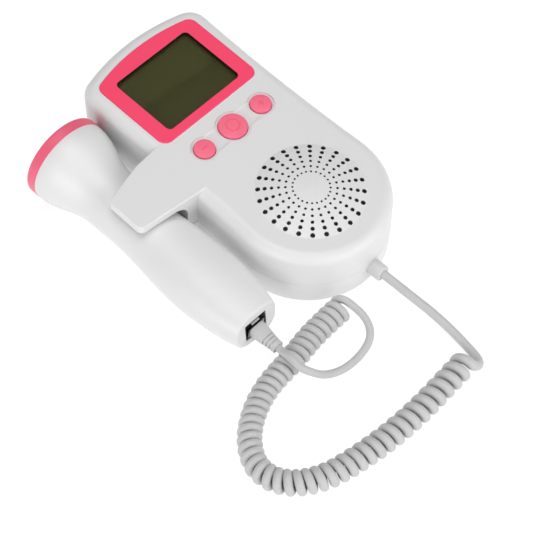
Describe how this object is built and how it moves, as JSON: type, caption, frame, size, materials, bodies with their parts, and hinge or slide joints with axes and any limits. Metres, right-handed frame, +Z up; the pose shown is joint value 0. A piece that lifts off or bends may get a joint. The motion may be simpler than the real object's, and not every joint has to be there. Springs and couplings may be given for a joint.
{
  "type": "fetal doppler monitor",
  "caption": "Hand-held fetal heartbeat monitor with a tilted display, round keys, a loudspeaker grille, a probe held in a side clip and a curly lead.",
  "frame": {"origin": "middle of the box of the unit and its clipped probe, on the surface that the unit lies on", "axes": "+X across the unit from the probe to the keys, +Y from the loudspeaker end to the display end, +Z up out of the base"},
  "size_m": [0.1479, 0.2202, 0.0452],
  "materials": {
    "cover_white": "white ABS, satin gloss",
    "bezel_pink": "saturated pink ABS, gloss",
    "ring_pink": "pink ABS, satin",
    "button_pink": "pink silicone-coated keys, satin",
    "display_window": "clear acrylic window, gloss",
    "display_glass": "dark olive liquid crystal panel",
    "inner_plastic": "natural nylon",
    "board_green": "green solder mask over glass epoxy",
    "chip_black": "black moulded epoxy",
    "screw_steel": "zinc-plated steel",
    "frame_steel": "pressed steel, dark passivated",
    "paper_black": "dark coated paper",
    "magnet_grey": "ferrite and plated steel",
    "battery_shell": "plain wrapped steel can",
    "contact_nickel": "nickel-plated spring steel",
    "contact_gold": "gold-plated contacts",
    "lead_grey": "grey PVC sheath, satin",
    "boot_grey": "grey soft PVC, satin",
    "lens_grey": "light silicone acoustic window",
    "ceramic": "silvered piezo ceramic",
    "backing_grey": "damping foam",
    "wire_red": "hook-up wire",
    "jack_black": "black nylon",
    "plug_clear": "clear polycarbonate"
  },
  "bodies": {
    "monitor": {"front_cover": "cover_white", "rear_cover": "cover_white", "display_bezel": "bezel_pink", "display_lens": "display_window", "display_panel": "display_glass", "display_holder": "inner_plastic", "main_board": "board_green", "board_parts": "chip_black", "board_screws": "screw_steel", "switch_housings": "chip_black", "speaker_frame": "frame_steel", "speaker_cone": "paper_black", "speaker_magnet": "magnet_grey", "left_battery": "battery_shell", "right_battery": "battery_shell", "contact_springs": "contact_nickel", "contact_plates": "contact_nickel", "cover_screws": "screw_steel", "strain_relief": "lead_grey", "inner_tail": "lead_grey", "unit_lead": "lead_grey", "coiled_lead": "lead_grey", "probe_lead": "lead_grey"},
    "left_key": {"left_button": "button_pink", "left_plunger": "inner_plastic"},
    "centre_key": {"centre_button": "button_pink", "centre_plunger": "inner_plastic"},
    "right_key": {"right_button": "button_pink", "right_plunger": "inner_plastic"},
    "door": {"battery_door": "cover_white"},
    "probe": {"probe_upper_shell": "cover_white", "probe_lower_shell": "cover_white", "probe_ring": "ring_pink", "probe_lens": "lens_grey", "transducer_discs": "ceramic", "transducer_backing": "backing_grey", "probe_board": "board_green", "probe_board_parts": "chip_black", "probe_wires": "wire_red", "probe_screws": "screw_steel", "jack_housing": "jack_black", "jack_contacts": "contact_gold", "plug_body": "plug_clear", "plug_contacts": "contact_gold", "plug_latch": "plug_clear", "plug_boot": "boot_grey"}
  },
  "joints": [
    {"name": "left_key_press", "type": "slide", "parent": "monitor", "child": "left_key", "axis": [0, 0.0776, -0.997], "range_m": [0, 0.0007], "stiffness_N_per_m": 1500, "springref_m": -0.0002},
    {"name": "centre_key_press", "type": "slide", "parent": "monitor", "child": "centre_key", "axis": [0, 0.0776, -0.997], "range_m": [0, 0.0007], "stiffness_N_per_m": 1500, "springref_m": -0.0002},
    {"name": "right_key_press", "type": "slide", "parent": "monitor", "child": "right_key", "axis": [0, 0.0776, -0.997], "range_m": [0, 0.0007], "stiffness_N_per_m": 1500, "springref_m": -0.0002},
    {"name": "door_slide", "type": "slide", "parent": "monitor", "child": "door", "axis": [0, 1, 0], "range_m": [0, 0.076]},
    {"name": "probe_unclip", "type": "slide", "parent": "monitor", "child": "probe", "axis": [-1, 0, 0], "range_m": [0, 0.06]}
  ]
}
